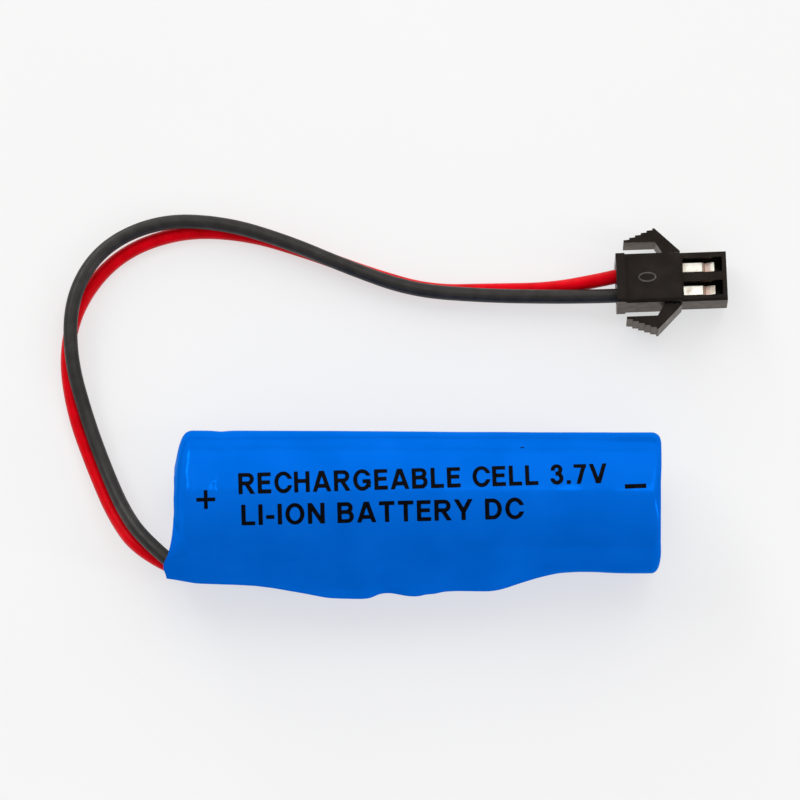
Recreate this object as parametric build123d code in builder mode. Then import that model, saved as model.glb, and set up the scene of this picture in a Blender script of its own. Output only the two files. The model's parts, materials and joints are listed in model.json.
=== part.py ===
"""Rechargeable cylindrical cell pack: a 14500 cell with a protection board laid along its side,
both inside a blue shrink sleeve, with two wires that end in a latching two-way plug.

Frame: millimetres, +Z up, the pack and its cord lie on Z = 0. +X runs along the cell towards its
negative end. The origin is under the middle of the sleeved pack.
"""
import os
from math import cos, pi, radians, sin, tan

from build123d import *

os.makedirs("parts", exist_ok=True)

# ---- driving dimensions ----
sleeve_radius = 7.3
film = 0.15                 # shrink film thickness
sleeve_right = 25.45        # end faces are measured from the middle of the cell
lip_tip = -26.25            # where the film reaches out over the wires
board_tilt = 13             # degrees that the board faces below -Y

can_radius = 6.85
can_wall = 0.2
can_bottom = 24.8
can_floor = 0.3
rim = -23.7                 # rolled rim of the can
rim_corner = 0.6
bead = -20.2                # groove that carries the cap stack
bead_depth = 0.6
bead_width = 1.5
cap_top = -24.7
button_radius = 3.2
stack_radius = 6.18         # bore of the gasket

wrap_skin = 0.07            # the cell's own thin wrap
tape_skin = 0.05
strip_thickness = 0.12
strip_width = 2.0
tab_thickness = 0.1
fit = 0.01                  # assembly clearance of pressed pieces
slack = 0.02                # assembly clearance of laid pieces

board_left, board_right = -9.5, 8.5
board_width, board_thickness = 4.5, 0.8
board_floor = 7.4           # from the cell's axis to the underside of the board
board_top = board_floor + board_thickness
pad_offset = 1.35           # the two wire pads stand this far either side of the middle

wire_diameter = 1.5
wire_radius = wire_diameter / 2
core_radius = 0.3

plug_center = Vector(21.42, 26.09, 0)   # middle of the plug's rear face, on the ground
plug_turn = 2.2                         # degrees about +Z
plug_length = 11.65
plug_width = 5.3
collar_length, collar_height = 0.95, 6.0
body_front, body_floor, body_top = 6.8, 0.5, 5.5
nose_floor, nose_top = 1.0, 5.0
way_pitch = 2.5
way_level = 3.0             # height of the contacts' middle above the ground
way_width, way_height = 1.8, 2.2
wire_end = 3.6              # insulation ends this far inside the plug
pivot_x, pivot_y = 5.5, 2.95
knuckle_radius, socket_radius = 0.5, 0.56

# ---- frame helpers ----
cell_center = Vector(0.4, 1.5, sleeve_radius)
outward = Vector(0, -cos(radians(board_tilt)), -sin(radians(board_tilt)))
across = Vector(0, -sin(radians(board_tilt)), cos(radians(board_tilt)))
cell_axis = Axis(cell_center, (1, 0, 0))

# local X along the cell, local Y outward through the board
side_view = Plane(origin=cell_center, x_dir=(1, 0, 0), z_dir=across * -1)

# local X along the plug, local Y to its left
plug_forward = Vector(cos(radians(plug_turn)), sin(radians(plug_turn)), 0)
plug_plan = Plane(origin=plug_center, x_dir=plug_forward, z_dir=(0, 0, 1))


def slice_at(x):
    """Plane across the cell: local X across the board, local Y outward through it."""
    return Plane(origin=cell_center + Vector(x, 0, 0), x_dir=across, z_dir=(1, 0, 0))


def on_board(x, side, height):
    """Plane lying on the board's outer face, or above it by a height."""
    origin = cell_center + Vector(x, 0, 0) + across * side + outward * (board_top + height)
    return Plane(origin=origin, x_dir=(1, 0, 0), z_dir=outward)


def pack_point(x, side, out):
    """Point from its place along the cell, across the board and out from the cell's axis."""
    return cell_center + Vector(x, 0, 0) + across * side + outward * out


def plug_point(x, left, height):
    """Point from its place along the plug, to its left and above the ground."""
    return plug_plan.from_local_coords(Vector(x, left, height))


def plug_slice(x):
    """Plane across the plug: local X to the plug's left, local Y up."""
    return Plane(origin=plug_point(x, 0, 0), x_dir=plug_plan.y_dir, z_dir=plug_plan.x_dir)


def plug_side(left):
    """Plane along the plug: local X along it, local Y up."""
    return Plane(origin=plug_point(0, left, 0), x_dir=plug_plan.x_dir, z_dir=plug_plan.y_dir * -1)


def plug_level(height):
    """Plane level with the ground, on the plug's own axes."""
    return plug_plan.offset(height)


# ======== the cell ========

# steel can: deep drawn cup, beaded and rolled in over the gasket
lip_bore = 5.5
bead_radius = ((bead_width / 2) ** 2 + bead_depth**2) / (2 * bead_depth)
bead_center = can_radius - bead_depth + bead_radius
can_bore = can_radius - can_wall
inner_bead_half = ((bead_radius + can_wall) ** 2 - (bead_center - can_bore) ** 2) ** 0.5

with BuildPart() as can:
    with BuildSketch(side_view):
        with BuildLine():
            FilletPolyline(
                (rim, lip_bore), (rim, can_radius), (bead - bead_width / 2, can_radius), radius=rim_corner
            )
            ThreePointArc(
                (bead - bead_width / 2, can_radius),
                (bead, can_radius - bead_depth),
                (bead + bead_width / 2, can_radius),
            )
            FilletPolyline(
                (bead + bead_width / 2, can_radius), (can_bottom, can_radius), (can_bottom, 0), radius=0.5
            )
            Line((can_bottom, 0), (can_bottom - can_floor, 0))
            FilletPolyline(
                (can_bottom - can_floor, 0),
                (can_bottom - can_floor, can_bore),
                (bead + inner_bead_half, can_bore),
                radius=0.3,
            )
            ThreePointArc(
                (bead + inner_bead_half, can_bore),
                (bead, can_radius - bead_depth - can_wall),
                (bead - inner_bead_half, can_bore),
            )
            FilletPolyline(
                (bead - inner_bead_half, can_bore),
                (rim + can_wall, can_bore),
                (rim + can_wall, lip_bore),
                radius=rim_corner - can_wall,
            )
            Line((rim + can_wall, lip_bore), (rim, lip_bore))
        make_face()
    revolve(axis=cell_axis)
can.part.label = "can"
export_step(can.part, "parts/can.step")

# plastic gasket: holds the cap stack and keeps it off the can
gasket_radius = can_bore - slack
gasket_left = rim + can_wall + slack
gasket_right = bead - inner_bead_half - slack
stack_left = gasket_left + 0.23
stack_right = gasket_right - 0.25
with BuildPart() as gasket:
    with BuildSketch(side_view):
        with BuildLine():
            FilletPolyline(
                (gasket_left, lip_bore + 0.1),
                (gasket_left, gasket_radius),
                (gasket_right, gasket_radius),
                radius=rim_corner - can_wall,
            )
            Polyline(
                (gasket_right, gasket_radius),
                (gasket_right, lip_bore + 0.1),
                (stack_right, lip_bore + 0.1),
                (stack_right, stack_radius + slack),
                (stack_left, stack_radius + slack),
                (stack_left, lip_bore + 0.1),
                (gasket_left, lip_bore + 0.1),
            )
        make_face()
    revolve(axis=cell_axis)
gasket.part.label = "gasket"
export_step(gasket.part, "parts/gasket.step")

# cap stack from the can's inside outwards: plate, ring, vent disc, heat switch ring, cap
stack_height = stack_left - stack_right
plate_face = stack_right + 0.2 * stack_height
ring_face = plate_face + 0.21 * stack_height
vent_face = ring_face + 0.18 * stack_height
switch_face = vent_face + 0.18 * stack_height

with BuildPart() as interrupt_plate:
    with BuildSketch(slice_at(plate_face)):
        Circle(stack_radius)
        with PolarLocations(3.4, 6):
            Circle(0.55, mode=Mode.SUBTRACT)
    extrude(amount=stack_right - plate_face - fit)
interrupt_plate.part.label = "interrupt_plate"
export_step(interrupt_plate.part, "parts/interrupt_plate.step")

with BuildPart() as interrupt_ring:
    with BuildSketch(slice_at(ring_face)):
        Circle(stack_radius)
        Circle(4.3, mode=Mode.SUBTRACT)
    extrude(amount=plate_face - ring_face - fit)
interrupt_ring.part.label = "interrupt_ring"
export_step(interrupt_ring.part, "parts/interrupt_ring.step")

# the vent disc dishes inwards until its middle meets the plate
vent_boss = plate_face - fit
with BuildPart() as vent_disc:
    with BuildSketch(side_view):
        with BuildLine():
            Polyline(
                (vent_face, stack_radius),
                (vent_face, 3.9),
                (vent_boss - 0.3, 2.3),
                (vent_boss - 0.3, 0),
                (vent_boss, 0),
                (vent_boss, 2.1),
                (ring_face - fit, 3.7),
                (ring_face - fit, stack_radius),
                close=True,
            )
        make_face()
    revolve(axis=cell_axis)
vent_disc.part.label = "vent_disc"
export_step(vent_disc.part, "parts/vent_disc.step")

with BuildPart() as heat_switch_ring:
    with BuildSketch(slice_at(switch_face)):
        Circle(stack_radius)
        Circle(3.5, mode=Mode.SUBTRACT)
    extrude(amount=vent_face - switch_face - fit)
heat_switch_ring.part.label = "heat_switch_ring"
export_step(heat_switch_ring.part, "parts/heat_switch_ring.step")

cap_wall = 0.35
with BuildPart() as positive_cap:
    with BuildSketch(side_view):
        with BuildLine():
            Polyline(
                (switch_face - fit, button_radius - cap_wall),
                (switch_face - fit, stack_radius),
                (stack_left + fit, stack_radius),
                (stack_left + fit, button_radius),
            )
            FilletPolyline(
                (stack_left + fit, button_radius), (cap_top, button_radius), (cap_top, 0), radius=0.25
            )
            Polyline(
                (cap_top, 0),
                (cap_top + cap_wall, 0),
                (cap_top + cap_wall, button_radius - cap_wall),
                (switch_face - fit, button_radius - cap_wall),
            )
        make_face()
    revolve(axis=cell_axis)
    # gas vents round the button
    for vent in range(4):
        radial = Vector(0, cos(radians(45 + 90 * vent)), sin(radians(45 + 90 * vent)))
        with BuildSketch(Plane(origin=cell_center + Vector(-23.85, 0, 0), x_dir=(1, 0, 0), z_dir=radial)):
            Circle(0.3)
        extrude(amount=button_radius + 0.5, mode=Mode.SUBTRACT)
positive_cap.part.label = "positive_cap"
export_step(positive_cap.part, "parts/positive_cap.step")

# ---- wound electrodes: each layer is half circles about two centres half a pitch apart ----
wind_start = 1.4
half_pitch = 0.25
half_turns = 18
wound_layers = (
    # name, inner and outer distance from the start of its turn, left and right edge
    ("separator_inner", 0.0, 0.04, -18.4, 23.5),
    ("cathode_foil", 0.055, 0.255, -17.4, 22.5),
    ("separator_outer", 0.27, 0.31, -18.4, 23.5),
    ("anode_foil", 0.325, 0.485, -17.9, 23.0),
)


def half_circle_radius(half, offset):
    return wind_start + half * half_pitch + offset


def wound_edge(offset):
    """One long face of a wound layer, drawn from the core outwards."""
    for half in range(half_turns):
        odd = half % 2
        CenterArc((half_pitch * odd, 0), half_circle_radius(half, offset), 180 * odd, 180)


wound_end = half_pitch + half_circle_radius(half_turns - 1, 0)
for layer_name, inner_offset, outer_offset, layer_left, layer_right in wound_layers:
    with BuildPart() as wound_layer:
        with BuildSketch(slice_at(layer_left)):
            with BuildLine():
                wound_edge(inner_offset)
                wound_edge(outer_offset)
                Line((wind_start + inner_offset, 0), (wind_start + outer_offset, 0))
                Line((wound_end + inner_offset, 0), (wound_end + outer_offset, 0))
            make_face()
        extrude(amount=layer_right - layer_left)
    wound_layer.part.label = layer_name
    export_step(wound_layer.part, f"parts/{layer_name}.step")

with BuildPart() as winding_tape:
    with BuildSketch(slice_at(-16.5)):
        Circle(6.58)
        Circle(6.5, mode=Mode.SUBTRACT)
    extrude(amount=38)
winding_tape.part.label = "winding_tape"
export_step(winding_tape.part, "parts/winding_tape.step")

# positive tab: rises from the cathode's edge, folds flat under the interrupt plate
tab_half_width = 1.43
positive_tab_radius = half_circle_radius(6, 0.2)
with BuildPart() as positive_tab:
    with BuildSketch(slice_at(stack_right + slack)):
        Circle(positive_tab_radius)
        Circle(positive_tab_radius - tab_thickness, mode=Mode.SUBTRACT)
        with Locations((0, positive_tab_radius)):
            Rectangle(2 * tab_half_width, 1.2, mode=Mode.INTERSECT)
    extrude(amount=-17.4 - (stack_right + slack))
    with BuildSketch(slice_at(stack_right + slack)):
        Circle(positive_tab_radius)
        with Locations((0, 0.8)):
            Rectangle(2 * tab_half_width, 4.6, mode=Mode.INTERSECT)
    extrude(amount=tab_thickness)
positive_tab.part.label = "positive_tab"
export_step(positive_tab.part, "parts/positive_tab.step")

# negative tab: leaves the anode's outer turn and folds flat on the can's floor
negative_tab_radius = half_circle_radius(half_turns - 1, 0.45)
can_floor_face = can_bottom - can_floor
with BuildPart() as negative_tab:
    with BuildSketch(slice_at(23.0)):
        with Locations((half_pitch, 0)):
            Circle(negative_tab_radius)
            Circle(negative_tab_radius - tab_thickness, mode=Mode.SUBTRACT)
        with Locations((half_pitch, -negative_tab_radius)):
            Rectangle(2 * tab_half_width, 1.2, mode=Mode.INTERSECT)
    extrude(amount=can_floor_face - fit - 23.0)
    with BuildSketch(slice_at(can_floor_face - fit)):
        with Locations((half_pitch, 0)):
            Circle(negative_tab_radius)
        with Locations((half_pitch, -2.4)):
            Rectangle(2 * tab_half_width, 7.6, mode=Mode.INTERSECT)
    extrude(amount=-tab_thickness)
negative_tab.part.label = "negative_tab"
export_step(negative_tab.part, "parts/negative_tab.step")

with BuildPart() as top_insulator:
    with BuildSketch(slice_at(-18.95)):
        Circle(6.6)
        Circle(1.3, mode=Mode.SUBTRACT)
        with Locations((0, 2.85)):
            Rectangle(3.2, 0.9, mode=Mode.SUBTRACT)
    extrude(amount=0.2)
top_insulator.part.label = "top_insulator"
export_step(top_insulator.part, "parts/top_insulator.step")

with BuildPart() as bottom_insulator:
    with BuildSketch(slice_at(23.8)):
        Circle(5.75)
        Circle(1.3, mode=Mode.SUBTRACT)
    extrude(amount=0.2)
bottom_insulator.part.label = "bottom_insulator"
export_step(bottom_insulator.part, "parts/bottom_insulator.step")

# fibre washer on the rolled rim, under the cell's own wrap
washer_thickness = 0.1
with BuildPart() as positive_washer:
    with BuildSketch(slice_at(rim - slack)):
        Circle(6.2)
        Circle(3.6, mode=Mode.SUBTRACT)
    extrude(amount=-washer_thickness)
positive_washer.part.label = "positive_washer"
export_step(positive_washer.part, "parts/positive_washer.step")

# the cell's own thin wrap, folded in over both ends
wrap_left = rim - 2 * slack - washer_thickness
wrap_bore = can_radius + fit
with BuildPart() as cell_wrap:
    with BuildSketch(side_view):
        with BuildLine():
            FilletPolyline(
                (wrap_left, 5.4),
                (wrap_left, wrap_bore),
                (can_bottom + fit, wrap_bore),
                (can_bottom + fit, 6.1),
                radius=[0.65, 0.48],
            )
            offset(amount=wrap_skin, side=Side.LEFT)
        make_face()
    revolve(axis=cell_axis)
cell_wrap.part.label = "cell_wrap"
export_step(cell_wrap.part, "parts/cell_wrap.step")

# ======== protection board ========
wrap_radius = wrap_bore + wrap_skin
wrap_face = wrap_left - wrap_skin

# tape that keeps the positive strip off the shoulder of the can
tape_bore = wrap_radius + fit
with BuildPart() as strip_tape:
    with BuildSketch(side_view):
        with BuildLine():
            FilletPolyline(
                (wrap_face - fit, 4.9), (wrap_face - fit, tape_bore), (-11.4, tape_bore), radius=0.74
            )
            offset(amount=tape_skin, side=Side.LEFT)
        make_face()
    extrude(amount=strip_width / 2 + 0.5, both=True)
strip_tape.part.label = "strip_tape"
export_step(strip_tape.part, "parts/strip_tape.step")

# nickel strips: from each pole, round the shoulder, along the side and up onto the board
strip_bore = tape_bore + tape_skin + fit
strip_left = wrap_face - 2 * fit - tape_skin
strip_rest = board_top + slack
with BuildPart() as positive_strip:
    with BuildSketch(side_view):
        with BuildLine():
            FilletPolyline(
                (cap_top - fit, -2.6),
                (cap_top - fit, button_radius + 0.1),
                (strip_left, 4.6),
                (strip_left, strip_bore),
                (board_left - 1.7, strip_bore),
                (board_left - 0.25, strip_rest),
                (board_left + 2.2, strip_rest),
                radius=[0.2, 0.2, 0.8, 0.3, 0.3],
            )
            offset(amount=strip_thickness, side=Side.LEFT)
        make_face()
    extrude(amount=strip_width / 2, both=True)
positive_strip.part.label = "positive_strip"
export_step(positive_strip.part, "parts/positive_strip.step")

wrap_right = can_bottom + fit + wrap_skin
with BuildPart() as negative_strip:
    with BuildSketch(side_view):
        with BuildLine():
            FilletPolyline(
                (can_bottom + fit, -2.6),
                (can_bottom + fit, 5.4),
                (wrap_right + fit, 5.9),
                (wrap_right + fit, wrap_radius + fit),
                (board_right + 2.4, wrap_radius + fit),
                (board_right + 1.0, strip_rest),
                (board_right - 1.9, strip_rest),
                radius=[0.15, 0.15, 0.45, 0.3, 0.3],
            )
            offset(amount=strip_thickness, side=Side.RIGHT)
        make_face()
    extrude(amount=strip_width / 2, both=True)
negative_strip.part.label = "negative_strip"
export_step(negative_strip.part, "parts/negative_strip.step")

# curved paper pad under the board
with BuildPart() as board_pad:
    with BuildSketch(slice_at(board_left - 0.4)):
        Circle(board_floor - 0.28)
        Circle(wrap_radius + slack, mode=Mode.SUBTRACT)
        with Locations((0, board_floor)):
            Rectangle(5.2, 2.0, mode=Mode.INTERSECT)
    extrude(amount=board_right - board_left + 0.8)
board_pad.part.label = "board_pad"
export_step(board_pad.part, "parts/board_pad.step")

with BuildPart() as board:
    with BuildSketch(on_board((board_left + board_right) / 2, 0, 0)):
        RectangleRounded(board_right - board_left, board_width, 0.3)
    extrude(amount=-board_thickness)
board.part.label = "protection_board"
export_step(board.part, "parts/protection_board.step")

# two six-legged chips: a moulded body on gull-wing legs
chip_length, chip_width = 2.9, 1.6
for chip_name, chip_x, chip_height in (("protection_chip", -2.85, 0.93), ("switch_chip", 4.3, 0.76)):
    with BuildPart() as chip:
        with BuildSketch(on_board(chip_x, 0, 0.1)):
            Rectangle(chip_length, chip_width)
        extrude(amount=chip_height - 0.1)
        chamfer(chip.faces().sort_by(Axis(cell_center, outward))[-1].edges(), 0.12)
        for edge_side in (-1, 1):
            for leg in (-0.95, 0, 0.95):
                with BuildSketch(on_board(chip_x + leg, edge_side * 0.95, 0.35)):
                    Rectangle(0.4, 0.5)
                extrude(amount=0.13)
                with BuildSketch(on_board(chip_x + leg, edge_side * 1.17, slack)):
                    Rectangle(0.4, 0.13)
                extrude(amount=0.45)
                with BuildSketch(on_board(chip_x + leg, edge_side * 1.3, slack)):
                    Rectangle(0.4, 0.35)
                extrude(amount=0.13)
    chip.part.label = chip_name
    export_step(chip.part, f"parts/{chip_name}.step")

with BuildPart() as chip_capacitor:
    with BuildSketch(on_board(-0.25, 0, slack)):
        Rectangle(1.4, 3.2)
    extrude(amount=1.24)
    fillet(chip_capacitor.edges(), 0.1)
chip_capacitor.part.label = "chip_capacitor"
export_step(chip_capacitor.part, "parts/chip_capacitor.step")

with BuildPart() as chip_resistors:
    for resistor_x, resistor_side in ((1.8, 1.2), (1.8, -1.2), (-0.6 - 0.7, 1.9), (7.4, 1.7)):
        with BuildSketch(on_board(resistor_x, resistor_side, slack)):
            Rectangle(1.0, 0.5)
        extrude(amount=0.35)
chip_resistors.part.label = "chip_resistors"
export_step(chip_resistors.part, "parts/chip_resistors.step")

# ======== wires ========
# routes: hand-laid points, each corner rounded as widely as its two runs allow
black_inner_route = [
    pack_point(-5.9, 1.35, 9.05),
    pack_point(-9.2, 1.45, 9.0),
    pack_point(-13.2, 1.95, 8.2),
    pack_point(-17.4, 2.3, 7.5),
    pack_point(-21.3, 2.35, 7.4),
    pack_point(-23.0, 2.25, 7.45),
    Vector(-24.4, -5.71, 6.97),
    Vector(-25.3, -4.65, 6.73),
]
red_inner_route = [
    pack_point(-5.9, -1.35, 9.05),
    pack_point(-9.2, -1.45, 9.0),
    pack_point(-13.2, -1.95, 8.2),
    pack_point(-17.4, -2.3, 7.5),
    pack_point(-21.3, -2.35, 7.4),
    pack_point(-22.9, -2.25, 7.45),
    Vector(-24.37, -5.18, 4.3),
    Vector(-25.3, -4.64, 4.3),
]
black_route = [
    Vector(-25.3, -4.65, 6.73),
    Vector(-27.7, -1.83, 6.09),
    Vector(-29.8, 1.3, 4.2),
    Vector(-31.8, 5.7, 2.2),
    Vector(-34.2, 11.7, 1.7),
    Vector(-36.1, 18.4, 2.5),
    Vector(-36.1, 25.0, 2.7),
    Vector(-32.7, 30.1, 2.35),
    Vector(-26.8, 33.0, 2.25),
    Vector(-19.9, 33.1, 2.32),
    Vector(-13.2, 31.1, 2.36),
    Vector(-6.7, 28.2, 2.32),
    Vector(-0.2, 25.35, 2.32),
    Vector(7.2, 24.95, 2.32),
    Vector(14.5, 24.8, 2.6),
    Vector(19.9, 24.73, 3.0),
    Vector(22.47, 24.85, 3.0),
    Vector(25.06, 24.98, 3.0),
]
red_route = [
    Vector(-25.3, -4.64, 4.3),
    Vector(-28.4, -2.84, 4.3),
    Vector(-31.4, 1.0, 2.1),
    Vector(-34.0, 6.8, 0.8),
    Vector(-36.1, 12.7, 0.8),
    Vector(-36.8, 19.2, 0.8),
    Vector(-35.3, 25.0, 0.8),
    Vector(-31.0, 30.0, 0.8),
    Vector(-24.5, 32.5, 0.8),
    Vector(-17.5, 32.3, 0.8),
    Vector(-10.9, 30.1, 0.8),
    Vector(-4.4, 27.9, 0.8),
    Vector(1.8, 25.8, 0.8),
    Vector(8.3, 25.7, 0.8),
    Vector(14.5, 25.9, 1.3),
    Vector(19.8, 26.9, 2.8),
    Vector(22.38, 27.28, 3.0),
    Vector(24.97, 27.48, 3.0),
]


def bend_radii(route):
    """Radius of each corner: 0.45 of its shorter run over the tangent of half its turn."""
    radii = []
    for before, corner, after in zip(route, route[1:], route[2:]):
        turn = (corner - before).get_angle(after - corner)
        shorter = min((corner - before).length, (after - corner).length)
        radii.append(0.45 * shorter / tan(radians(turn / 2)))
    return radii


wires = {}
for wire_name, route in (
    ("black_wire_inner", black_inner_route),
    ("red_wire_inner", red_inner_route),
    ("black_wire", black_route),
    ("red_wire", red_route),
):
    radii = bend_radii(route)
    with BuildPart() as wire:
        with BuildLine() as wire_path:
            FilletPolyline(*route, radius=radii)
        with BuildSketch(Plane(origin=wire_path.line @ 0, z_dir=wire_path.line % 0)):
            Circle(wire_radius)
        sweep()
    wire.part.label = wire_name
    export_step(wire.part, f"parts/{wire_name}.step")
    wires[wire_name] = wire.part
    length = wire_path.wire().length
    tube_volume = pi * wire_radius**2 * length
    print(f"{wire_name}: length {length:.2f}, volume {wire.part.volume:.2f} of {tube_volume:.2f}")
    print("  bend radii", [round(radius, 1) for radius in radii])

# bare copper ends, soldered to the board's two output pads
with BuildPart() as board_core_ends:
    for route in (black_inner_route, red_inner_route):
        with BuildSketch(Plane(origin=route[0], z_dir=route[0] - route[1])):
            Circle(core_radius)
        extrude(amount=1.1)
board_core_ends.part.label = "board_core_ends"
export_step(board_core_ends.part, "parts/board_core_ends.step")

# solder: a tall joint on each wire end, a low one on each strip end
joint_x = -5.15
with BuildPart() as solder_joints:
    for side in (1, -1):
        with BuildSketch(on_board(joint_x, side * pad_offset, slack)):
            Circle(0.9)
        extrude(amount=1.45, taper=14)
    fillet(solder_joints.edges().filter_by(GeomType.CIRCLE).group_by(Axis(cell_center, outward))[-1], 0.25)
    for low_x, low_radius, low_height in ((board_left + 1.2, 0.55, 0.25), (board_right - 1.1, 0.8, 0.66)):
        with BuildSketch(on_board(low_x, 0, strip_rest - board_top + strip_thickness + fit)):
            Circle(low_radius)
        extrude(amount=low_height, taper=20)
    add(board_core_ends.part, mode=Mode.SUBTRACT)
    add(wires["black_wire_inner"], mode=Mode.SUBTRACT)
    add(wires["red_wire_inner"], mode=Mode.SUBTRACT)
solder_joints.part.label = "solder_joints"
export_step(solder_joints.part, "parts/solder_joints.step")

# ======== plug ========
ways = (-way_pitch / 2, way_pitch / 2)
nose_rim = 0.45
window_length, window_width = 4.15, 1.6
entry_depth, entry_width = 1.9, 4.3
lever_floor, lever_top = 1.3, 4.7
with BuildPart() as plug_housing:
    for start, end, floor, top, corner in (
        (0, collar_length, 0, collar_height, 0.3),
        (collar_length, body_front, body_floor, body_top, 0.35),
        (body_front, plug_length, nose_floor, nose_top, 0.25),
    ):
        with BuildSketch(plug_slice(start)):
            with Locations((0, (floor + top) / 2)):
                RectangleRounded(plug_width, top - floor, corner)
        extrude(amount=end - start)
    # wires enter together, then each has its own way with a pin hole in the mating face
    with BuildSketch(plug_slice(0)):
        with Locations((0, way_level)):
            RectangleRounded(entry_width, way_height + 0.1, 0.4)
    extrude(amount=entry_depth, mode=Mode.SUBTRACT)
    for way in ways:
        with BuildSketch(plug_slice(0)):
            with Locations((way, way_level)):
                Rectangle(way_width, way_height)
        extrude(amount=plug_length - nose_rim, mode=Mode.SUBTRACT)
        with BuildSketch(plug_slice(plug_length - 1)):
            with Locations((way, way_level)):
                Rectangle(1.2, 1.2)
        extrude(amount=2, mode=Mode.SUBTRACT)
        with BuildSketch(plug_level(way_level)):
            with Locations((plug_length - nose_rim - window_length / 2, way)):
                Rectangle(window_length, window_width)
        extrude(amount=nose_top, mode=Mode.SUBTRACT)
    # a socket for each latch lever's knuckle
    for side in (1, -1):
        with BuildSketch(plug_level(lever_floor - 0.05)):
            with Locations((pivot_x, side * pivot_y)):
                Circle(socket_radius)
        extrude(amount=lever_top - lever_floor + 0.1, mode=Mode.SUBTRACT)
    # raised oval ring on top
    with BuildSketch(plug_level(body_top)):
        with Locations((3.25, 0)):
            Ellipse(0.95, 0.53)
            Ellipse(0.8, 0.38, mode=Mode.SUBTRACT)
    extrude(amount=0.06)
plug_housing.part.label = "plug_housing"
export_step(plug_housing.part, "parts/plug_housing.step")

# latch levers: serrated pad, slanted arm and a knuckle that turns in the socket
pad_rear, pad_front = 0.95, 4.04
pad_inner, pad_outer_rear, pad_outer_front = 4.0, 4.27, 5.45
serrations = 5
serration_length = (pad_front - pad_rear) / serrations
serration_step = (pad_outer_front - pad_outer_rear) / serrations
lever_outline = [(pad_rear, pad_inner), (pad_rear, pad_outer_rear)]
for tooth in range(serrations):
    tread_end = pad_rear + serration_length * (tooth + 1)
    tread_level = pad_outer_rear + serration_step * tooth
    lever_outline += [(tread_end, tread_level + 0.05), (tread_end, tread_level + serration_step)]
lever_outline += [
    (pad_front + 0.21, pad_outer_front),
    (6.83, 2.9),
    (6.83, 2.74),
    (5.0, 2.84),
    (4.9, 2.9),
    (4.2, pad_inner),
]
for lever_name, side in (("latch_lever_left", 1), ("latch_lever_right", -1)):
    with BuildPart() as lever:
        with BuildSketch(plug_level(lever_floor)):
            with BuildLine():
                Polyline(*[(x, side * left) for x, left in lever_outline], close=True)
            make_face()
            with Locations((pivot_x, side * pivot_y)):
                Circle(knuckle_radius)
        extrude(amount=lever_top - lever_floor)
    lever.part.label = lever_name
    export_step(lever.part, f"parts/{lever_name}.step")

# crimped contacts: spring box, conductor crimp and insulation crimp on one stamped floor
contact_floor, contact_top = 2.0, 3.9
contact_width, contact_skin = 0.95, 0.15
box_rear, box_front = 6.6, 9.1
for contact_name, way in (("contact_black", ways[0]), ("contact_red", ways[1])):
    with BuildPart() as contact:
        with BuildSketch(plug_slice(box_rear)):
            with Locations((way, (contact_floor + contact_top) / 2)):
                Rectangle(contact_width, contact_top - contact_floor)
                Rectangle(
                    contact_width - 2 * contact_skin,
                    contact_top - contact_floor - 2 * contact_skin,
                    mode=Mode.SUBTRACT,
                )
        extrude(amount=box_front - box_rear)
        # spring tongue: dips to grip the pin, flares to let it in
        with BuildSketch(plug_side(way)):
            with BuildLine():
                Polyline(
                    (box_front, contact_top),
                    (9.45, contact_top - 0.38),
                    (10.4, contact_top + 0.05),
                    (10.4, contact_top - 0.11),
                    (9.45, contact_top - 0.53),
                    (box_front, contact_top - contact_skin),
                    close=True,
                )
            make_face()
        extrude(amount=contact_width / 2, both=True)
        with BuildSketch(plug_level(contact_floor)):
            with Locations(((2.4 + 10.2) / 2, way)):
                Rectangle(10.2 - 2.4, 0.8)
        extrude(amount=contact_skin)
        for crimp_rear, crimp_length, crimp_radius in ((2.4, 1.0, 0.88), (4.3, 1.4, 0.5)):
            with BuildSketch(plug_slice(crimp_rear)):
                with Locations((way, way_level)):
                    Circle(crimp_radius)
                with Locations((way, (contact_floor + way_level) / 2)):
                    Rectangle(0.8, way_level - contact_floor)
            extrude(amount=crimp_length)
        for bore_rear, bore_length, bore_radius in (
            (2.3, 1.3, wire_radius + 0.05),
            (3.6, 2.9, core_radius + fit),
        ):
            with BuildSketch(plug_slice(bore_rear)):
                with Locations((way, way_level)):
                    Circle(bore_radius)
            extrude(amount=bore_length, mode=Mode.SUBTRACT)
    contact.part.label = contact_name
    export_step(contact.part, f"parts/{contact_name}.step")

with BuildPart() as plug_core_ends:
    for way in ways:
        with BuildSketch(plug_slice(wire_end + slack)):
            with Locations((way, way_level)):
                Circle(core_radius)
        extrude(amount=2.2)
plug_core_ends.part.label = "plug_core_ends"
export_step(plug_core_ends.part, "parts/plug_core_ends.step")

# ======== sleeve and end papers ========
with BuildPart() as positive_paper:
    with BuildSketch(slice_at(-24.85)):
        Circle(3.8)
    extrude(amount=-0.15)
positive_paper.part.label = "positive_paper"
export_step(positive_paper.part, "parts/positive_paper.step")

with BuildPart() as negative_paper:
    with BuildSketch(slice_at(25.03)):
        Circle(6.6)
    extrude(amount=0.2)
negative_paper.part.label = "negative_paper"
export_step(negative_paper.part, "parts/negative_paper.step")

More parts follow.
